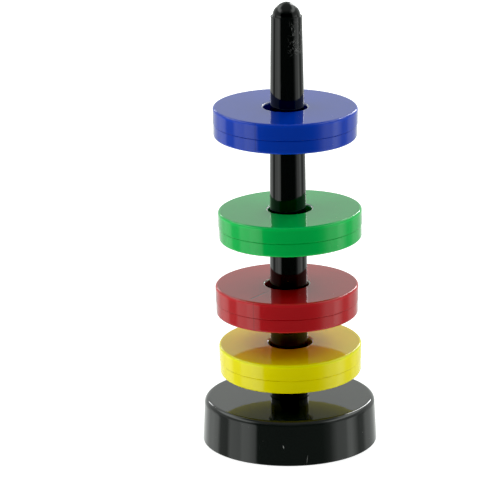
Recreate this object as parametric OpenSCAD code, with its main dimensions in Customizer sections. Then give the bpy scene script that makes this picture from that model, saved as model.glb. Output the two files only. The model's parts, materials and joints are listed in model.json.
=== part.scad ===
// Four ring magnets floating on a tapered post over a weighted round base.
// +Z is up, and the origin is the centre of the base's resting face.

/* [Base] */
// Height of the base
base_h = 10.4; // [9:0.1:13]
// Radius of the base at the table
base_foot_r = 20.3; // [20:0.1:26]
// Radius of the base at its top, before the edge is rounded
base_rim_r = 19.8; // [19.4:0.1:25]
// Rounding of the base's top edge
base_round = 1.3; // [0.3:0.1:1.5]
// Wall thickness of the base shell
base_wall = 1.8; // [1.2:0.1:2]

/* [Post] */
// Height of the post's shoulder above the table
post_h = 100.7; // [80:0.1:120]
// Radius of the post where it leaves the base
post_foot_r = 4.42; // [4.2:0.02:4.5]
// Radius of the post at half height
post_mid_r = 4.2; // [3.9:0.02:4.24]
// Radius of the post at its shoulder
post_top_r = 3.56; // [3:0.02:3.8]
// How far a thin lip stands out round the shoulder
shoulder_lip = 0.06; // [0:0.01:0.15]
// Radius of the domed tip
tip_r = 3.18; // [2.8:0.01:3.3]
// Height of the domed tip above the shoulder
tip_h = 3.2; // [2.5:0.05:4]
// How pointed the tip is: 1 is an even dome, more is sharper
tip_point = 1.26; // [1:0.02:1.5]
// Radius of the hole up the middle of the post
post_core_r = 2.3; // [2:0.1:2.5]

/* [Rings] */
// Outer radius of every ring
ring_r = 16.58; // [15:0.02:18]
// Radius of the hole through every ring
bore_r = 5; // [5:0.05:5.2]
// Thickness of every ring
ring_h = 7; // [6.5:0.05:8]
// Depth of the parting line below a ring's top face
seam_depth = 3.75; // [3:0.05:4.2]
// How far the upper shell overhangs the lower one at the parting line
seam_lip = 0.14; // [0.06:0.02:0.2]
// Rounding of a ring's outer edges
edge_round = 0.6; // [0.2:0.05:0.8]
// Rounding at the mouths of the hole
mouth_round = 0.55; // [0.2:0.05:0.7]
// Wall thickness of the ring cases
case_wall = 1.15; // [1:0.05:1.3]

/* [Gaps between rings] */
// Gap from the base up to the yellow ring
yellow_gap = 6.16; // [5:0.01:9]
// Gap from the yellow ring up to the red ring
red_gap = 7.09; // [5:0.01:9]
// Gap from the red ring up to the green ring
green_gap = 11; // [8:0.01:13]
// Gap from the green ring up to the blue ring
blue_gap = 17.05; // [13:0.01:19]

/* [Ring offsets] */
// Sideways shift of the yellow ring on the post, x and y
yellow_shift = [0.24, -0.08]; // [-0.3:0.01:0.3]
// Sideways shift of the red ring, x and y
red_shift = [-0.42, 0.12]; // [-0.45:0.01:0.45]
// Sideways shift of the green ring, x and y
green_shift = [0.39, -0.12]; // [-0.45:0.01:0.45]
// Sideways shift of the blue ring, x and y
blue_shift = [-0.44, 0.08]; // [-0.45:0.01:0.45]
// Lean of the yellow ring about x and about y, in degrees
yellow_lean = [2.06, -0.68]; // [-2.1:0.01:2.1]
// Lean of the red ring about x and about y
red_lean = [0.55, -0.18]; // [-1.2:0.01:1.2]
// Lean of the green ring about x and about y
green_lean = [0.46, -1.08]; // [-1.2:0.01:1.2]
// Lean of the blue ring about x and about y
blue_lean = [1.42, 0.58]; // [-1.5:0.01:1.5]

/* [Magnets] */
// Thickness of the ring magnets
magnet_h = 4.4; // [3.5:0.05:4.4]
// Outer radius of the ring magnets
magnet_r = 14.7; // [12:0.1:14.8]
// Radius of the hole in the ring magnets
magnet_hole_r = 6.6; // [6.5:0.1:8]
// Thickness of the larger magnet in the base
base_magnet_h = 4.8; // [4:0.1:4.8]
// Outer radius of the magnet in the base
base_magnet_r = 16.6; // [14:0.1:16.8]

/* [Hidden] */
$fn = 96;

black = "#1c1e1d";
ferrite = "#3a3735";
zinc = "#b9bdc1";
yellow = "#e6dc1e";
red = "#d2383a";
green = "#1fb865";
blue = "#2f52b4";

// running clearance between plastic parts that fit together
slip = 0.05;
// how far a cutting tool runs past the face that it cuts
past = 1;

// inside the base, from the table upwards
plate_h = 1.6;
plate_r = base_foot_r - 1.1;
ceiling = base_h - base_wall;
flange_h = 1.4;
flange_r = 6.6;
base_magnet_hole_r = 7.2;
base_magnet_z = ceiling - slip - base_magnet_h;
rib_w = 1.2;
rib_count = 6;
ledge_r = base_magnet_r - 1.5;
ledge_w = 1.5;

// the screw, its boss in the plate and its hole in the post
boss_h = 2.6;
boss_r = 4;
screw_head_r = 2.6;
screw_head_h = 1.4;
screw_recess = 0.3;
screw_root_r = 0.95;
screw_crest_r = 1.3;
screw_pitch = 1.1;
screw_len = 13;
screw_hole_r = 1.1;
core_floor = 16;

// the lip at the post's shoulder, and the plug that holds the tip
lip_h = 0.3;
plug_len = 6;

// ring heights, from the base upwards
yellow_z = base_h + yellow_gap;
red_z = yellow_z + ring_h + red_gap;
green_z = red_z + ring_h + green_gap;
blue_z = green_z + ring_h + blue_gap;

// the ring cases
seam_z = ring_h - seam_depth;
tongue_h = 1;
tongue_w = 0.5;
cavity_in_r = bore_r + case_wall;
cavity_out_r = ring_r - seam_lip - case_wall;

// points along a circle about c, from angle a to angle b
function arc(c, r, a, b, steps = 8) =
    [for (i = [0 : steps]) c + r * [cos(a + (b - a) * i / steps), sin(a + (b - a) * i / steps)]];

// radius of the post at height z: a shallow arc through its foot, middle and shoulder
function post_r(z) =
    let (t = (z - base_h) / (post_h - base_h))
    post_foot_r * (1 - t) * (1 - 2 * t) + post_mid_r * 4 * t * (1 - t) + post_top_r * t * (2 * t - 1);

// ---- base ----

module base_outline() {
    lean = atan((base_foot_r - base_rim_r) / base_h);
    rim = [base_rim_r - base_round, base_h - base_round];
    polygon(concat(
        [[0, 0], [base_foot_r - 0.3, 0], [base_foot_r, 0.3]],
        arc(rim, base_round, lean, 90),
        [[0, base_h]]
    ));
}

module base_inside() {
    polygon([
        [0, plate_h],
        [plate_r - 1, plate_h],
        [base_rim_r - base_wall, ceiling - 1],
        [base_rim_r - base_wall - 1, ceiling],
        [0, ceiling]
    ]);
}

// radial ribs that centre the base magnet under the ceiling
module base_ribs() {
    for (i = [0 : rib_count - 1])
        rotate([0, 0, 30 + i * 360 / rib_count])
            translate([base_magnet_r + slip, -rib_w / 2, base_magnet_z])
                cube([base_rim_r - base_wall / 2 - base_magnet_r, rib_w, ceiling - base_magnet_z + slip]);
}

module base_shell() {
    color(black)
    difference() {
        union() {
            difference() {
                rotate_extrude() base_outline();
                rotate_extrude() base_inside();
                translate([0, 0, -past])
                    cylinder(r = plate_r + slip, h = plate_h + past + slip);
            }
            base_ribs();
        }
        translate([0, 0, ceiling - past])
            cylinder(r = post_foot_r + slip, h = base_wall + 2 * past);
    }
}

module base_plate() {
    color(black)
    difference() {
        rotate_extrude()
            polygon([
                [0, 0],
                [plate_r - 0.3, 0],
                [plate_r, 0.3],
                [plate_r, plate_h],
                [ledge_r, plate_h],
                [ledge_r, base_magnet_z - slip],
                [ledge_r - ledge_w, base_magnet_z - slip],
                [ledge_r - ledge_w, plate_h],
                [boss_r, plate_h],
                [boss_r, boss_h],
                [0, boss_h]
            ]);
        translate([0, 0, -past])
            cylinder(r = screw_crest_r + slip, h = boss_h + 2 * past);
        translate([0, 0, -past])
            cylinder(r = screw_head_r + slip, h = screw_recess + screw_head_h + past);
    }
}

module base_magnet() {
    color(ferrite)
    translate([0, 0, base_magnet_z])
        ring_magnet(base_magnet_r, base_magnet_hole_r, base_magnet_h);
}

// ---- post ----

module post() {
    steps = 12;
    color(black)
    difference() {
        union() {
            rotate_extrude()
                polygon(concat(
                    [[0, ceiling - slip], [post_foot_r, ceiling - slip]],
                    [for (i = [0 : steps])
                        let (z = base_h + (post_h - base_h) * i / steps)
                        [post_r(z), z]],
                    [[0, post_h]]
                ));
            translate([0, 0, post_h - lip_h])
                cylinder(r = post_top_r + shoulder_lip, h = lip_h);
            translate([0, 0, ceiling - slip - flange_h])
                cylinder(r = flange_r, h = flange_h);
            translate([0, 0, boss_h + slip])
                cylinder(r = boss_r, h = ceiling - boss_h);
        }
        translate([0, 0, core_floor])
            cylinder(r = post_core_r, h = post_h);
        cylinder(r = screw_hole_r, h = core_floor - 2);
    }
}

module post_tip() {
    steps = 24;
    color(black)
    rotate_extrude()
        polygon(concat(
            [
                [0, post_h - plug_len],
                [post_core_r - slip - 0.4, post_h - plug_len],
                [post_core_r - slip, post_h - plug_len + 0.4],
                [post_core_r - slip, post_h]
            ],
            [for (i = [0 : steps])
                let (a = 90 * i / steps)
                [tip_r * pow(cos(a), tip_point), post_h + tip_h * sin(a)]]
        ));
}

module post_screw() {
    head_z = screw_recess + screw_head_h - slip;
    thread_z = boss_h + 0.2;
    turns = floor((screw_len - thread_z) / screw_pitch);
    color(zinc)
    difference() {
        rotate_extrude()
            polygon(concat(
                [
                    [0, screw_recess],
                    [screw_head_r - 0.4, screw_recess],
                    [screw_head_r, screw_recess + 0.4],
                    [screw_head_r, head_z],
                    [screw_root_r, head_z]
                ],
                [for (i = [0 : turns - 1], k = [0 : 2])
                    [k == 1 ? screw_crest_r : screw_root_r, thread_z + (i + k / 3) * screw_pitch]],
                [[0, screw_len]]
            ));
        for (turn = [0, 90])
            rotate([0, 0, turn])
                translate([-1.6, -0.3, screw_recess - past])
                    cube([3.2, 0.6, past + 0.8]);
    }
}

// ---- rings ----

module ring_magnet(outer_r, hole_r, h) {
    edge = 0.3;
    rotate_extrude()
        polygon([
            [hole_r, edge], [hole_r + edge, 0],
            [outer_r - edge, 0], [outer_r, edge],
            [outer_r, h - edge], [outer_r - edge, h],
            [hole_r + edge, h], [hole_r, h - edge]
        ]);
}

// the ring's section as if it were one piece, with its underside at z = 0
module ring_outline(outer_r) {
    polygon(concat(
        arc([bore_r + mouth_round, mouth_round], mouth_round, 180, 270),
        arc([outer_r - edge_round, edge_round], edge_round, 270, 360),
        arc([outer_r - edge_round, ring_h - edge_round], edge_round, 0, 90),
        arc([bore_r + mouth_round, ring_h - mouth_round], mouth_round, 90, 180)
    ));
}

module cavity_outline() {
    translate([cavity_in_r, case_wall])
        square([cavity_out_r - cavity_in_r, ring_h - 2 * case_wall]);
}

// the band between the tongue of the lower shell and the skirt of the upper one
module tongue_outline(grow) {
    translate([cavity_out_r - past, seam_z - past])
        square([tongue_w + past + grow, tongue_h + past + grow]);
    translate([cavity_in_r - tongue_w - grow, seam_z - past])
        square([tongue_w + past + grow, tongue_h + past + grow]);
}

module upper_shell() {
    rotate_extrude()
        difference() {
            ring_outline(ring_r);
            cavity_outline();
            translate([0, -past])
                square([ring_r + past, seam_z + past]);
            tongue_outline(slip);
        }
}

module lower_shell() {
    rotate_extrude()
        difference() {
            ring_outline(ring_r - seam_lip);
            cavity_outline();
            difference() {
                translate([0, seam_z - slip])
                    square([ring_r + past, ring_h]);
                tongue_outline(0);
            }
        }
}

module case_magnet() {
    translate([0, 0, (ring_h - magnet_h) / 2])
        ring_magnet(magnet_r, magnet_hole_r, magnet_h);
}

// leans a ring about the centre of its top face and moves it to its place on the post
module place(z, shift, lean) {
    translate([shift[0], shift[1], z + ring_h])
        rotate([lean[0], lean[1], 0])
            translate([0, 0, -ring_h])
                children();
}

module place_yellow() { place(yellow_z, yellow_shift, yellow_lean) children(); }
module place_red() { place(red_z, red_shift, red_lean) children(); }
module place_green() { place(green_z, green_shift, green_lean) children(); }
module place_blue() { place(blue_z, blue_shift, blue_lean) children(); }

module yellow_upper_shell() { color(yellow) place_yellow() upper_shell(); }
module yellow_lower_shell() { color(yellow) place_yellow() lower_shell(); }
module yellow_magnet() { color(ferrite) place_yellow() case_magnet(); }
module red_upper_shell() { color(red) place_red() upper_shell(); }
module red_lower_shell() { color(red) place_red() lower_shell(); }
module red_magnet() { color(ferrite) place_red() case_magnet(); }
module green_upper_shell() { color(green) place_green() upper_shell(); }
module green_lower_shell() { color(green) place_green() lower_shell(); }
module green_magnet() { color(ferrite) place_green() case_magnet(); }
module blue_upper_shell() { color(blue) place_blue() upper_shell(); }
module blue_lower_shell() { color(blue) place_blue() lower_shell(); }
module blue_magnet() { color(ferrite) place_blue() case_magnet(); }

base_shell();
base_plate();
base_magnet();
post();
post_tip();
post_screw();
yellow_upper_shell();
yellow_lower_shell();
yellow_magnet();
red_upper_shell();
red_lower_shell();
red_magnet();
green_upper_shell();
green_lower_shell();
green_magnet();
blue_upper_shell();
blue_lower_shell();
blue_magnet();
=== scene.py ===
import json
import math

import bmesh
import bpy
from mathutils import Matrix, Vector


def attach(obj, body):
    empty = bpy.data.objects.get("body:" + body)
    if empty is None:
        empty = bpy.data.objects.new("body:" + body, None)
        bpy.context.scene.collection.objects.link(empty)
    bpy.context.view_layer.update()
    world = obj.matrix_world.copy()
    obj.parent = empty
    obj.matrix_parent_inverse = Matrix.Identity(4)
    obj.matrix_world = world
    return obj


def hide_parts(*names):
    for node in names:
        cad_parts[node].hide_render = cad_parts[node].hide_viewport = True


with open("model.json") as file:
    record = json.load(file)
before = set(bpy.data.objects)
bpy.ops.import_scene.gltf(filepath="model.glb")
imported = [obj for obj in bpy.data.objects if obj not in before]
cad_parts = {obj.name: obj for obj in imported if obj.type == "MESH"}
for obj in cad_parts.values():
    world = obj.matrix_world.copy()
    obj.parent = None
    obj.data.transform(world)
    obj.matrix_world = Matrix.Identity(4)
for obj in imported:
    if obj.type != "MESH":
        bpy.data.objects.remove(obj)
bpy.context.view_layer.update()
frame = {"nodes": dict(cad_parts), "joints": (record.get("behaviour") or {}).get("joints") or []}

# ---- sizes in millimetres, the same as the CAD model's ----

MM = 0.001
SLIP = 0.05
BASE_H = 10.4
BASE_FOOT_R = 20.3
BASE_RIM_R = 19.8
BASE_ROUND = 1.3
BASE_WALL = 1.8
PLATE_H = 1.6
PLATE_R = BASE_FOOT_R - 1.1
POST_H = 100.7
POST_FOOT_R = 4.42
POST_MID_R = 4.2
POST_TOP_R = 3.56
POST_CORE_R = 2.3
CORE_FLOOR = 16.0
FLANGE_R = 6.6
FLANGE_H = 1.4
BOSS_R = 4.0
BOSS_H = 2.6
SHOULDER_LIP = 0.06
LIP_H = 0.3
PLUG_LEN = 6.0
TIP_R = 3.18
TIP_H = 3.2
TIP_POINT = 1.26
RING_R = 16.58
RING_H = 7.0
BORE_R = 5.0
SEAM_Z = RING_H - 3.75
SEAM_LIP = 0.14
EDGE_ROUND = 0.6
MOUTH_ROUND = 0.55
CASE_WALL = 1.15
TONGUE_W = 0.5
TONGUE_H = 1.0

COLOURS = ("yellow", "red", "green", "blue")
STAND = "stand"


# ---- turned shapes ----

# the largest turn between two points of an arc
ARC_STEP = math.radians(7)
# edges bent by more than this stay sharp
SHARP_ANGLE = math.radians(38)
# a radius below this is a point on the axis
ON_AXIS = 1e-6
# how close to the ends of a long side its extra points lie
GUARD = 0.04


def soften(corners):
    """Turns (r, z, rounding) corners into outline points, with an arc at each rounded corner."""
    points = []
    for i, (r, z, rounding) in enumerate(corners):
        here = Vector((r, z))
        if rounding == 0:
            points.append(here)
            continue
        back = (Vector(corners[i - 1][:2]) - here).normalized()
        ahead = (Vector(corners[(i + 1) % len(corners)][:2]) - here).normalized()
        half = back.angle(ahead) / 2
        centre = here + (back + ahead).normalized() * rounding / math.sin(half)
        start = here + back * rounding / math.tan(half) - centre
        end = here + ahead * rounding / math.tan(half) - centre
        from_angle = math.atan2(start.y, start.x)
        turn = math.atan2(end.y, end.x) - from_angle
        turn = (turn + math.pi) % (2 * math.pi) - math.pi
        steps = max(4, math.ceil(abs(turn) / ARC_STEP))
        for k in range(steps + 1):
            angle = from_angle + turn * k / steps
            points.append(centre + rounding * Vector((math.cos(angle), math.sin(angle))))
    return points


def guard(points, closed):
    """Adds a point close to both ends of every long side, so that shading stays flat between arcs."""
    guarded = []
    sides = len(points) if closed else len(points) - 1
    for i in range(sides):
        a, b = points[i], points[(i + 1) % len(points)]
        guarded.append(a)
        if (b - a).length > 6 * GUARD:
            inset = (b - a).normalized() * GUARD
            guarded += [a + inset, b - inset]
    if not closed:
        guarded.append(points[-1])
    return guarded


def circle(bm, point, segments):
    """The corners of one turned circle, or the single corner of a point on the axis."""
    if point.x < ON_AXIS:
        return [bm.verts.new((0, 0, point.y * MM))]
    angles = [2 * math.pi * k / segments for k in range(segments)]
    return [
        bm.verts.new((point.x * math.cos(a) * MM, point.x * math.sin(a) * MM, point.y * MM))
        for a in angles
    ]


def join_circles(bm, low, high, segments):
    """The faces between two neighbouring circles."""
    for k in range(segments):
        following = (k + 1) % segments
        if len(low) == 1:
            bm.faces.new((low[0], high[k], high[following]))
        elif len(high) == 1:
            bm.faces.new((low[k], low[following], high[0]))
        else:
            bm.faces.new((low[k], low[following], high[following], high[k]))


def lathe(name, corners, closed=True, segments=240):
    """A smooth turned mesh about Z. An open outline starts and ends on the axis."""
    bm = bmesh.new()
    circles = [circle(bm, point, segments) for point in guard(soften(corners), closed)]
    pairs = list(zip(circles, circles[1:]))
    if closed:
        pairs.append((circles[-1], circles[0]))
    for low, high in pairs:
        join_circles(bm, low, high, segments)
    bmesh.ops.recalc_face_normals(bm, faces=bm.faces)
    mesh = bpy.data.meshes.new(name)
    bm.to_mesh(mesh)
    bm.free()
    mesh.shade_smooth()
    mesh.set_sharp_from_angle(angle=SHARP_ANGLE)
    piece = bpy.data.objects.new(name, mesh)
    bpy.context.scene.collection.objects.link(piece)
    return piece


def stand_in_for(piece, node, body, material):
    """Dresses a piece that replaces one CAD node and moves with its body."""
    piece.data.materials.append(material)
    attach(piece, body)
    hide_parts(node)


# ---- materials ----


def add(tree, kind, inputs=None, **settings):
    """Adds a node. An input is a plain value or another node's output socket."""
    made = tree.nodes.new(kind)
    for key, value in settings.items():
        setattr(made, key, value)
    for key, value in (inputs or {}).items():
        if isinstance(value, bpy.types.NodeSocket):
            tree.links.new(value, made.inputs[key])
        else:
            made.inputs[key].default_value = value
    return made


def ramp(tree, fac, stops):
    """A colour ramp over (position, grey) stops, as a value between 0 and 1."""
    made = add(tree, "ShaderNodeValToRGB", {"Fac": fac})
    elements = made.color_ramp.elements
    while len(elements) > 1:
        elements.remove(elements[-1])
    for i, (position, grey) in enumerate(stops):
        element = elements[0] if i == 0 else elements.new(position)
        element.position = position
        element.color = (grey, grey, grey, 1)
    return made.outputs["Color"]


def shade(colour, factor):
    """A lighter or darker colour, with its alpha."""
    return tuple(min(1, c * factor) for c in colour) + (1,)


def blank_material(name):
    """A new material, its node tree and its shader."""
    material = bpy.data.materials.new(name)
    material.use_nodes = True
    tree = material.node_tree
    shader = next(n for n in tree.nodes if n.type == "BSDF_PRINCIPLED")
    return material, tree, shader


def times(tree, a, b):
    """The product of two values or sockets."""
    return add(tree, "ShaderNodeMath", {0: a, 1: b}, operation="MULTIPLY").outputs[0]


def step(tree, value, start, end):
    """Runs from 0 at start to 1 at end, and stays flat outside them."""
    made = add(tree, "ShaderNodeMapRange", {"Value": value, "From Min": start, "From Max": end})
    return made.outputs["Result"]


def parts_of(tree, place):
    """The X, Y and Z parts of a place or a direction."""
    return add(tree, "ShaderNodeSeparateXYZ", {"Vector": place}).outputs


def blend_in(tree, mask, below, colour):
    """Lays a plain colour over another one where the mask is 1."""
    made = add(tree, "ShaderNodeMix", {"Factor": mask, "A": below}, data_type="RGBA")
    made.inputs["B"].default_value = tuple(colour) + (1,)
    return made.outputs["Result"]


def ring_radius(tree, place):
    """Distance from a ring's turning axis."""
    flat = add(tree, "ShaderNodeVectorMath", {0: place, 1: (1, 1, 0)}, operation="MULTIPLY")
    length = add(tree, "ShaderNodeVectorMath", {0: flat.outputs["Vector"]}, operation="LENGTH")
    return length.outputs["Value"]


# A mark is a mask over the piece's own coordinates, the colour it turns to, and its height in metres.


def painted_rim_glow(colour):
    """Painted highlight: the upper outer edge of a ring is painted lighter, standing in for the light that
    the slightly clear plastic lets out there and for glints on its rounding.
    """
    def mask(tree, place):
        high = step(tree, parts_of(tree, place)["Z"], (RING_H - 0.9) * MM, (RING_H - 0.3) * MM)
        outer = step(tree, ring_radius(tree, place), (RING_R - 0.6) * MM, (RING_R - 0.35) * MM)
        return times(tree, high, outer)
    return mask, shade(colour, 1.35)[:3], 0.0


def painted_mouth_glint(colour):
    """Painted highlight: the hole's upper edge is painted pale, standing in for the glint of light on its
    rounding.
    """
    def mask(tree, place):
        radius = ring_radius(tree, place)
        high = step(tree, parts_of(tree, place)["Z"], (RING_H - 0.5) * MM, (RING_H - 0.3) * MM)
        outside = step(tree, radius, (BORE_R + 0.5) * MM, (BORE_R + 0.35) * MM)
        inside = step(tree, radius, (BORE_R + 0.08) * MM, (BORE_R + 0.2) * MM)
        return times(tree, high, times(tree, outside, inside))
    return mask, tuple(0.55 * channel + 0.38 for channel in colour), 0.0


def across_and_along(tree, place, bearing):
    """Distances from the line that leaves the ring's middle at a bearing: to its side, and outwards."""
    turned = add(tree, "ShaderNodeMapping", {
        "Vector": place, "Rotation": (0, 0, math.radians(90 - bearing)),
    })
    at = parts_of(tree, turned.outputs["Vector"])
    across = add(tree, "ShaderNodeMath", {0: at["Y"]}, operation="ABSOLUTE")
    return across.outputs[0], at["X"]


def weld_line(colour, bearing):
    """The faint upright line on the side of the moulding where its two flows met."""
    def mask(tree, place):
        across, along = across_and_along(tree, place, bearing)
        thin = step(tree, across, 0.2 * MM, 0.06 * MM)
        on_side = step(tree, along, (RING_R - 0.5) * MM, (RING_R - 0.2) * MM)
        return times(tree, times(tree, thin, on_side), 0.4)
    return mask, shade(colour, 0.4)[:3], 0.0


def melt_streak(colour, bearing):
    """A short dark groove on the top face, where the melt folded over itself."""
    def mask(tree, place):
        across, along = across_and_along(tree, place, bearing)
        thin = step(tree, across, 0.35 * MM, 0.12 * MM)
        begun = step(tree, along, 7.2 * MM, 9.5 * MM)
        ended = step(tree, along, 15.2 * MM, 14.2 * MM)
        high = step(tree, parts_of(tree, place)["Z"], (RING_H - 0.3) * MM, (RING_H - 0.1) * MM)
        return times(tree, times(tree, thin, high), times(tree, begun, ended))
    return mask, shade(colour, 0.4)[:3], -0.00003


def pale_fleck(x, z, wide, tall, lean):
    """A small pale fleck, set in slightly, on the front of the base, in millimetres and degrees."""
    def mask(tree, place):
        moved = add(tree, "ShaderNodeVectorMath", {0: place, 1: (-x * MM, 0, -z * MM)}, operation="ADD")
        turned = add(tree, "ShaderNodeMapping", {
            "Vector": moved.outputs["Vector"], "Rotation": (0, math.radians(lean), 0),
        })
        oval = add(tree, "ShaderNodeVectorMath", {0: turned.outputs["Vector"], 1: (1 / wide, 0, 1 / tall)},
                   operation="MULTIPLY")
        far = add(tree, "ShaderNodeVectorMath", {0: oval.outputs["Vector"]}, operation="LENGTH")
        front = step(tree, parts_of(tree, place)["Y"], 0, -MM)
        return times(tree, step(tree, far.outputs["Value"], MM, 0.5 * MM), front)
    return mask, (0.3, 0.3, 0.29), -0.00005


def swirl_scratches(low, high):
    """Fine curling scratches on the +X side of the post, between two heights in millimetres."""
    def mask(tree, place):
        drift = add(tree, "ShaderNodeTexNoise", {
            "Vector": place, "Scale": 520, "Detail": 2, "Distortion": 1.5,
        })
        off = add(tree, "ShaderNodeMath", {0: drift.outputs["Fac"], 1: -0.5}, operation="ADD")
        away = add(tree, "ShaderNodeMath", {0: off.outputs[0]}, operation="ABSOLUTE")
        line = step(tree, away.outputs[0], 0.02, 0.008)
        gaps = add(tree, "ShaderNodeTexNoise", {"Vector": place, "Scale": 600})
        broken = ramp(tree, gaps.outputs["Fac"], ((0.38, 0), (0.5, 1)))
        at = parts_of(tree, place)
        side = step(tree, at["X"], 0, 1.0 * MM)
        above = step(tree, at["Z"], low * MM, (low + 2) * MM)
        below = step(tree, at["Z"], high * MM, (high - 2) * MM)
        return times(tree, times(tree, line, broken), times(tree, side, times(tree, above, below)))
    return mask, (0.13, 0.13, 0.125), -0.00001


# roughness of clean plastic, and how thickly dust covers it where a speck lies
POLISH = 0.05
DUST = 0.3
DUST_COLOUR = (0.55, 0.54, 0.5)


def flow_mottling(tree, place, colour):
    """The plastic's own colour, a little uneven where it flowed."""
    flow = add(tree, "ShaderNodeTexNoise", {"Vector": place, "Scale": 90, "Detail": 3, "Distortion": 0.6})
    tint = add(tree, "ShaderNodeMix", {"Factor": flow.outputs["Fac"]}, data_type="RGBA")
    tint.inputs["A"].default_value = shade(colour, 0.93)
    tint.inputs["B"].default_value = shade(colour, 1.07)
    return tint.outputs["Result"]


def hairline_scuffs(tree, place):
    """A mask of fine scuffs that run mostly upwards."""
    stretch = add(tree, "ShaderNodeMapping", {
        "Vector": place, "Scale": (1, 1, 0.12), "Rotation": (0.7, 0.4, 0.2),
    })
    hair = add(tree, "ShaderNodeTexNoise", {
        "Vector": stretch.outputs["Vector"], "Scale": 2600, "Detail": 2,
    })
    return ramp(tree, hair.outputs["Fac"], ((0.68, 0), (0.74, 1)))


def dust_specks(tree, place):
    """A mask of small round specks. About one cell in eight holds one."""
    cells = add(tree, "ShaderNodeTexVoronoi", {"Vector": place, "Scale": 650})
    near = ramp(tree, cells.outputs["Distance"], ((0.03, 1), (0.07, 0)))
    lot = add(tree, "ShaderNodeSeparateColor", {"Color": cells.outputs["Color"]})
    chosen = ramp(tree, lot.outputs["Red"], ((0.84, 0), (0.9, 1)))
    return times(tree, near, chosen)


def orange_peel(tree, place, scuffs):
    """The faint ripple of a moulded surface, with a slight ridge along each scuff."""
    peel = add(tree, "ShaderNodeTexNoise", {"Vector": place, "Scale": 700, "Detail": 2})
    ripple = add(tree, "ShaderNodeBump", {
        "Height": peel.outputs["Fac"], "Strength": 0.05, "Distance": 0.0001,
    })
    return add(tree, "ShaderNodeBump", {
        "Height": scuffs, "Strength": 0.06, "Distance": 0.00005, "Normal": ripple.outputs["Normal"],
    })


def moulded_plastic(name, colour, ior=1.5, marks=()):
    """Glossy injection-moulded plastic: flow mottling, orange peel, hairline scuffs, dust and marks."""
    material, tree, shader = blank_material(name)
    place = add(tree, "ShaderNodeTexCoord").outputs["Object"]
    scuffs = hairline_scuffs(tree, place)
    specks = dust_specks(tree, place)
    coat = blend_in(tree, times(tree, specks, DUST), flow_mottling(tree, place, colour), DUST_COLOUR)
    wear = add(tree, "ShaderNodeMath", {0: scuffs, 1: 0.1, 2: POLISH}, operation="MULTIPLY_ADD")
    rough = add(tree, "ShaderNodeMath", {0: specks, 1: 0.3, 2: wear.outputs[0]}, operation="MULTIPLY_ADD")
    surface = orange_peel(tree, place, scuffs)
    for masked, colour_there, height in marks:
        mask = masked(tree, place)
        coat = blend_in(tree, mask, coat, colour_there)
        if height:
            surface = add(tree, "ShaderNodeBump", {
                "Height": mask, "Strength": 0.6, "Distance": abs(height),
                "Normal": surface.outputs["Normal"],
            }, invert=height < 0)
    tree.links.new(coat, shader.inputs["Base Color"])
    tree.links.new(rough.outputs[0], shader.inputs["Roughness"])
    tree.links.new(surface.outputs["Normal"], shader.inputs["Normal"])
    shader.inputs["IOR"].default_value = ior
    return material


def ferrite():
    """Sintered ferrite: dark grey, dull, with a fine ground grain and pits."""
    material, tree, shader = blank_material("ferrite")
    place = add(tree, "ShaderNodeTexCoord").outputs["Object"]
    grain = add(tree, "ShaderNodeTexNoise", {"Vector": place, "Scale": 3000, "Detail": 4})
    tint = add(tree, "ShaderNodeMix", {"Factor": grain.outputs["Fac"]}, data_type="RGBA")
    tint.inputs["A"].default_value = (0.028, 0.025, 0.024, 1)
    tint.inputs["B"].default_value = (0.062, 0.057, 0.053, 1)
    tree.links.new(tint.outputs["Result"], shader.inputs["Base Color"])
    rough = add(tree, "ShaderNodeMath", {0: grain.outputs["Fac"], 1: 0.3, 2: 0.45},
                operation="MULTIPLY_ADD")
    tree.links.new(rough.outputs[0], shader.inputs["Roughness"])
    pits = add(tree, "ShaderNodeBump", {
        "Height": grain.outputs["Fac"], "Strength": 0.3, "Distance": 0.0001,
    })
    tree.links.new(pits.outputs["Normal"], shader.inputs["Normal"])
    return material


def zinc_steel():
    """Bright zinc plate with faint turned lines."""
    material, tree, shader = blank_material("zinc_steel")
    place = add(tree, "ShaderNodeTexCoord").outputs["Object"]
    turned = add(tree, "ShaderNodeTexWave", {
        "Vector": place, "Scale": 900, "Distortion": 1.5, "Detail": 2,
    }, wave_type="RINGS", rings_direction="Z")
    tint = add(tree, "ShaderNodeMix", {"Factor": turned.outputs["Fac"]}, data_type="RGBA")
    tint.inputs["A"].default_value = (0.42, 0.44, 0.46, 1)
    tint.inputs["B"].default_value = (0.56, 0.58, 0.6, 1)
    tree.links.new(tint.outputs["Result"], shader.inputs["Base Color"])
    rough = add(tree, "ShaderNodeMath", {0: turned.outputs["Fac"], 1: 0.12, 2: 0.24},
                operation="MULTIPLY_ADD")
    tree.links.new(rough.outputs[0], shader.inputs["Roughness"])
    shader.inputs["Metallic"].default_value = 1
    return material


RING_COLOUR = {
    "yellow": (0.92, 0.81, 0.001),
    "red": (0.5, 0.0135, 0.018),
    "green": (0.002, 0.5, 0.082),
    "blue": (0.004, 0.045, 0.46),
}
# where each ring's weld line and the red ring's streak lie, in degrees from the front towards +X
WELD_BEARING = {"yellow": 165, "red": -27.5, "green": 174, "blue": -24}
STREAK_BEARING = -34.5
# each ring's marks: a painted highlight along the rim, a painted glint at the mouth of the hole, and its
# weld line
MARKS = {
    name: (painted_rim_glow(colour), painted_mouth_glint(colour), weld_line(colour, WELD_BEARING[name]))
    for name, colour in RING_COLOUR.items()
}
MARKS["red"] += (melt_streak(RING_COLOUR["red"], STREAK_BEARING),)
PLASTIC = {
    name: moulded_plastic(name + "_plastic", colour, ior=1.46, marks=MARKS[name])
    for name, colour in RING_COLOUR.items()
}
BLACK_COLOUR = (0.0024, 0.0034, 0.0028)
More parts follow.
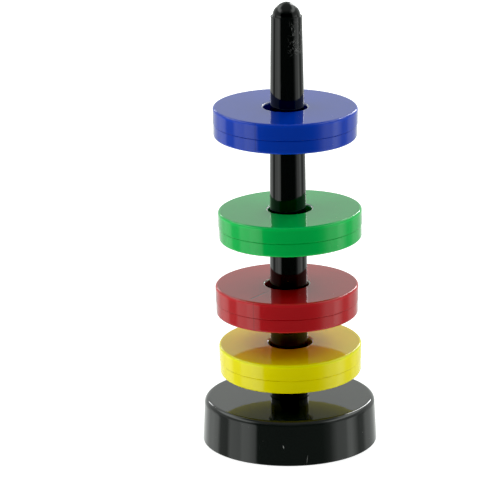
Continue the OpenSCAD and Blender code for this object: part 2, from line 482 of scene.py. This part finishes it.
# painted light: the base gets a lighter copy of the black plastic, standing in for the brighter light on
# its side
BASE_PAINTED_LIGHTER_COLOUR = (0.0115, 0.0145, 0.0128)
BLACK = moulded_plastic("black_plastic", BLACK_COLOUR)
BASE_BLACK_PAINTED_LIGHTER = moulded_plastic("black_plastic_base_painted_lighter", BASE_PAINTED_LIGHTER_COLOUR, marks=(
    pale_fleck(x=-1.5, z=4.6, wide=0.14, tall=0.5, lean=12),
    pale_fleck(x=3.9, z=1.5, wide=0.05, tall=1.1, lean=-8),
))
POST_BLACK = moulded_plastic("black_plastic_post", BLACK_COLOUR, marks=(
    swirl_scratches(low=91.5, high=100.4),
))
FERRITE = ferrite()
ZINC = zinc_steel()


# ---- the stand ----


def base_shell():
    ceiling = BASE_H - BASE_WALL
    hole_r = POST_FOOT_R + SLIP
    seat_r = PLATE_R + SLIP
    piece = lathe("base_shell_moulding", [
        (hole_r, ceiling, 0),
        (hole_r, BASE_H, 0.1),
        (BASE_RIM_R, BASE_H, BASE_ROUND),
        (BASE_FOOT_R, 0, 0.3),
        (seat_r, 0, 0.12),
        (seat_r, PLATE_H + SLIP, 0),
        (PLATE_R - 1, PLATE_H + SLIP, 0),
        (BASE_RIM_R - BASE_WALL, ceiling - 1, 0.4),
        (BASE_RIM_R - BASE_WALL - 1, ceiling, 0.4),
    ], segments=320)
    stand_in_for(piece, "base_shell", STAND, BASE_BLACK_PAINTED_LIGHTER)


def post_radius(z):
    """The post's radius at height z: a shallow arc through its foot, middle and shoulder."""
    t = (z - BASE_H) / (POST_H - BASE_H)
    return POST_FOOT_R * (1 - t) * (1 - 2 * t) + POST_MID_R * 4 * t * (1 - t) + POST_TOP_R * t * (2 * t - 1)


def post():
    ceiling = BASE_H - BASE_WALL - SLIP
    lip_z = POST_H - LIP_H
    steps = 24
    side = [BASE_H + (lip_z - BASE_H) * i / steps for i in range(steps, -1, -1)]
    piece = lathe("post_moulding", [
        (0, CORE_FLOOR, 0),
        (POST_CORE_R, CORE_FLOOR, 0.3),
        (POST_CORE_R, POST_H, 0.1),
        (POST_TOP_R + SHOULDER_LIP, POST_H, 0.1),
        (POST_TOP_R + SHOULDER_LIP, lip_z, 0.03),
        *[(post_radius(z), z, 0) for z in side],
        (POST_FOOT_R, ceiling, 0),
        (FLANGE_R, ceiling, 0.1),
        (FLANGE_R, ceiling - FLANGE_H, 0.1),
        (BOSS_R, ceiling - FLANGE_H, 0),
        (BOSS_R, BOSS_H + SLIP, 0.2),
        (0, BOSS_H + SLIP, 0),
    ], closed=False, segments=192)
    stand_in_for(piece, "post", STAND, POST_BLACK)


def post_tip():
    plug_r = POST_CORE_R - SLIP
    steps = 40
    angles = [math.pi / 2 * i / steps for i in range(1, steps)]
    dome = [(TIP_R * math.cos(a) ** TIP_POINT, POST_H + TIP_H * math.sin(a), 0) for a in angles]
    piece = lathe("post_tip_moulding", [
        (0, POST_H - PLUG_LEN, 0),
        (plug_r, POST_H - PLUG_LEN, 0.4),
        (plug_r, POST_H, 0),
        (TIP_R, POST_H, 0),
        *dome,
        (0, POST_H + TIP_H, 0),
    ], closed=False, segments=192)
    stand_in_for(piece, "post_tip", STAND, BLACK)


# ---- the rings ----


def upper_shell(name):
    """Drawn with the ring's underside at z = 0, like the CAD part."""
    skirt_top = SEAM_Z + TONGUE_H + SLIP
    inner = BORE_R + CASE_WALL
    outer = RING_R - SEAM_LIP - CASE_WALL
    return lathe(name, [
        (RING_R, SEAM_Z, 0.1),
        (RING_R, RING_H, EDGE_ROUND),
        (BORE_R, RING_H, MOUTH_ROUND),
        (BORE_R, SEAM_Z, 0.08),
        (inner - TONGUE_W - SLIP, SEAM_Z, 0),
        (inner - TONGUE_W - SLIP, skirt_top, 0),
        (inner, skirt_top, 0),
        (inner, RING_H - CASE_WALL, 0.2),
        (outer, RING_H - CASE_WALL, 0.2),
        (outer, skirt_top, 0),
        (outer + TONGUE_W + SLIP, skirt_top, 0),
        (outer + TONGUE_W + SLIP, SEAM_Z, 0),
    ])


def lower_shell(name):
    tongue_top = SEAM_Z + TONGUE_H
    inner = BORE_R + CASE_WALL
    outer = RING_R - SEAM_LIP - CASE_WALL
    return lathe(name, [
        (RING_R - SEAM_LIP, 0, EDGE_ROUND),
        (RING_R - SEAM_LIP, SEAM_Z - SLIP, 0.2),
        (outer + TONGUE_W, SEAM_Z - SLIP, 0),
        (outer + TONGUE_W, tongue_top, 0.1),
        (outer, tongue_top, 0.1),
        (outer, CASE_WALL, 0.2),
        (inner, CASE_WALL, 0.2),
        (inner, tongue_top, 0.1),
        (inner - TONGUE_W, tongue_top, 0.1),
        (inner - TONGUE_W, SEAM_Z - SLIP, 0),
        (BORE_R, SEAM_Z - SLIP, 0.1),
        (BORE_R, 0, MOUTH_ROUND),
    ])


def ring_place(colour):
    """Where a ring floats: its turning axis passes through the middle of its top face."""
    spin = next(j for j in frame["joints"] if j["name"] == colour + "_spin")
    lean = Vector((0, 0, 1)).rotation_difference(Vector(spin["axis"])).to_matrix().to_4x4()
    return Matrix.Translation(spin["pos_m"]) @ lean @ Matrix.Translation((0, 0, -RING_H * MM))


def ring(colour):
    for half, draw in (("upper_shell", upper_shell), ("lower_shell", lower_shell)):
        node = f"{colour}_{half}"
        piece = draw(node + "_moulding")
        piece.matrix_world = ring_place(colour)
        stand_in_for(piece, node, colour + "_case", PLASTIC[colour])


base_shell()
post()
post_tip()
for colour in COLOURS:
    ring(colour)

for node, material in (("base_plate", BLACK), ("base_magnet", FERRITE), ("post_screw", ZINC)):
    frame["nodes"][node].material_slots[0].material = material
for colour in COLOURS:
    frame["nodes"][colour + "_magnet"].material_slots[0].material = FERRITE


# ---- stage, light and camera ----


def floor():
    """A plain pale floor. Its own glow keeps it near white, and a soft contact shadow stays on it."""
    mesh = bpy.data.meshes.new("floor")
    side = 3.0
    corners = [(-side, -side, 0), (side, -side, 0), (side, side, 0), (-side, side, 0)]
    mesh.from_pydata(corners, [], [(0, 1, 2, 3)])
    piece = bpy.data.objects.new("floor", mesh)
    bpy.context.scene.collection.objects.link(piece)
    material, tree, shader = blank_material("floor_paper")
    shader.inputs["Base Color"].default_value = (0.85, 0.85, 0.85, 1)
    shader.inputs["Roughness"].default_value = 0.9
    shader.inputs["Specular IOR Level"].default_value = 0
    shader.inputs["Emission Color"].default_value = (1, 1, 1, 1)
    shader.inputs["Emission Strength"].default_value = 0.75
    mesh.materials.append(material)
    # the studio's table stands in for the floor in reflections and in bounced light
    piece.visible_glossy = False
    piece.visible_diffuse = False


# brightness of the studio by bearing in degrees: 0 is the camera's side, 90 is +X, 180 is behind.
# TABLE is at and below the horizon, WALLS stand above it, and BOXES hang above the walls
TABLE = (
    (-180, 0.9), (-168, 1.1), (-157, 1.1), (-150, 1.0), (-134, 0.8), (-124, 1.1), (-112, 1.1),
    (-106, 0.35), (-92, 0.35), (-86, 1.2), (-70, 1.2), (-66, 1.6), (-56, 1.5), (-47, 1.0), (-43.5, 0.11),
    (44, 0.11), (54, 0.25), (66, 0.95), (80, 1.0), (84, 1.5), (90, 1.5), (98, 0.8), (104, 0.35),
    (114, 0.35), (122, 0.75), (134, 0.65), (150, 0.8), (157, 1.0), (168, 1.1), (180, 0.9),
)
WALLS = (
    (-180, 0.83), (-150, 0.85), (-120, 0.6), (-60, 0.5), (-45, 0.06), (45, 0.06), (60, 0.5), (120, 0.6),
    (150, 0.85), (180, 0.83),
)
BOXES = (
    (-180, 0.7), (-150, 0.9), (-135, 2.4), (-70, 2.4), (-55, 0.5), (-30, 0.15),
    (30, 0.15), (55, 0.5), (70, 2.2), (135, 2.2), (150, 0.9), (180, 0.7),
)
CEILING = 0.35
# where each of these gives way to the next, as the sine of the angle above the horizon
TABLE_TO_WALLS = (0.0, 0.12)
WALLS_TO_BOXES = (0.5, 0.62)
BOXES_TO_CEILING = (0.74, 0.86)
# above the brightest value in the rows, because a ramp only runs from 0 to 1
PEAK = 2.6
# linear light up to this level comes out black
BLACK_POINT = 0.004
# the studio's light is a touch green
LIGHT_TINT = (0.97, 1.01, 0.98)
# extra light thrown up by the table onto the sides of the rings: a share of what is there, and an even part
TABLE_GAIN = 0.8
TABLE_FILL = 0.38
# the lamps hang this far from the middle of the object
LAMP_DISTANCE = 0.7
LAMP_AIM = Vector((0, 0, 0.05))
# the camera was fitted to the edges of the base, the post, the rings and the coin
CAMERA_PLACE = (0, -0.6647, 0.23645)
PITCH, PAN, ROLL = (math.radians(angle) for angle in (16.01, -0.763, -0.70))
FOCAL_LENGTH = 215.8


def light_rows(tree, way):
    """How bright the table, the walls and the boxes are in one direction, as shares of PEAK."""
    forward = times(tree, way["Y"], -1.0)
    bearing = add(tree, "ShaderNodeMath", {0: way["X"], 1: forward}, operation="ARCTAN2")
    turn = add(tree, "ShaderNodeMath", {0: bearing.outputs[0], 1: 0.5 / math.pi, 2: 0.5},
               operation="MULTIPLY_ADD")
    return [
        ramp(tree, turn.outputs[0], [(b / 360 + 0.5, v / PEAK) for b, v in row])
        for row in (TABLE, WALLS, BOXES)
    ]


def table_light(tree, table, bounced):
    """The table's light, with the extra that bounced rays find there."""
    gain = add(tree, "ShaderNodeMath", {0: bounced, 1: TABLE_GAIN, 2: 1.0}, operation="MULTIPLY_ADD")
    fill = times(tree, bounced, TABLE_FILL / PEAK)
    level = add(tree, "ShaderNodeMath", {0: table, 1: gain.outputs[0], 2: fill},
                operation="MULTIPLY_ADD")
    return level.outputs[0]


def change_over(tree, height, band, below, above):
    """Turns the light below a band of heights into the light above it."""
    share = ramp(tree, height, ((band[0], 0), (band[1], 1)))
    made = add(tree, "ShaderNodeMix", {"Factor": share, "A": below, "B": above}, data_type="RGBA")
    return made.outputs["Result"]


def studio():
    """Pale table and walls, tall soft boxes to the left and right, and a dark side towards the camera."""
    world = bpy.data.worlds.new("studio")
    bpy.context.scene.world = world
    world.use_nodes = True
    tree = world.node_tree
    tree.nodes.clear()
    way = parts_of(tree, add(tree, "ShaderNodeTexCoord").outputs["Generated"])
    path = add(tree, "ShaderNodeLightPath")
    table, walls, boxes = light_rows(tree, way)
    low = table_light(tree, table, path.outputs["Is Diffuse Ray"])
    ceiling = shade((CEILING / PEAK,) * 3, 1)
    sky = change_over(tree, way["Z"], TABLE_TO_WALLS, low, walls)
    sky = change_over(tree, way["Z"], WALLS_TO_BOXES, sky, boxes)
    sky = change_over(tree, way["Z"], BOXES_TO_CEILING, sky, ceiling)
    tinted = add(tree, "ShaderNodeVectorMath", {0: sky, 1: LIGHT_TINT}, operation="MULTIPLY")
    seen = add(tree, "ShaderNodeBackground", {"Color": tinted.outputs["Vector"], "Strength": PEAK})
    plain = add(tree, "ShaderNodeBackground", {"Color": (1, 1, 1, 1), "Strength": 1.0})
    both = add(tree, "ShaderNodeMixShader", {
        0: path.outputs["Is Camera Ray"], 1: seen.outputs[0], 2: plain.outputs[0],
    })
    out = add(tree, "ShaderNodeOutputWorld")
    tree.links.new(both.outputs[0], out.inputs["Surface"])


def lamp(name, bearing, height, wide, tall, brightness):
    """A soft box that faces the object. Its bearing and height are in degrees, its size in metres."""
    turn, rise = math.radians(bearing), math.radians(height)
    way = Vector((math.sin(turn) * math.cos(rise), -math.cos(turn) * math.cos(rise), math.sin(rise)))
    data = bpy.data.lights.new(name, "AREA")
    data.shape = "RECTANGLE"
    data.size = wide
    data.size_y = tall
    data.energy = brightness * math.pi * wide * tall
    made = bpy.data.objects.new(name, data)
    bpy.context.scene.collection.objects.link(made)
    made.location = LAMP_AIM + way * LAMP_DISTANCE
    made.rotation_euler = way.to_track_quat("Z", "Y").to_euler()


def camera():
    """A long lens from the front, looking down on the object."""
    ahead = Vector((math.sin(PAN) * math.cos(PITCH), math.cos(PAN) * math.cos(PITCH), -math.sin(PITCH)))
    level = Vector((math.cos(PAN), -math.sin(PAN), 0))
    rise = level.cross(ahead)
    right = math.cos(ROLL) * level + math.sin(ROLL) * rise
    up = math.cos(ROLL) * rise - math.sin(ROLL) * level
    data = bpy.data.cameras.new("camera")
    data.lens = FOCAL_LENGTH
    data.sensor_width = 36
    data.clip_start = 0.05
    data.clip_end = 20
    made = bpy.data.objects.new("camera", data)
    bpy.context.scene.collection.objects.link(made)
    turn = Matrix((right, up, -ahead)).transposed().to_4x4()
    made.matrix_world = Matrix.Translation(CAMERA_PLACE) @ turn
    bpy.context.scene.camera = made


def film():
    """Plain colours with deep blacks, as a camera's contrast setting gives them."""
    view = bpy.context.scene.view_settings
    view.view_transform = "Standard"
    view.use_curve_mapping = True
    view.curve_mapping.black_level = (BLACK_POINT,) * 3
    view.curve_mapping.update()


floor()
studio()
lamp("lamp_right", bearing=156, height=28, wide=0.07, tall=0.34, brightness=12)
lamp("lamp_left", bearing=-155, height=20, wide=0.05, tall=0.12, brightness=8)
camera()
film()
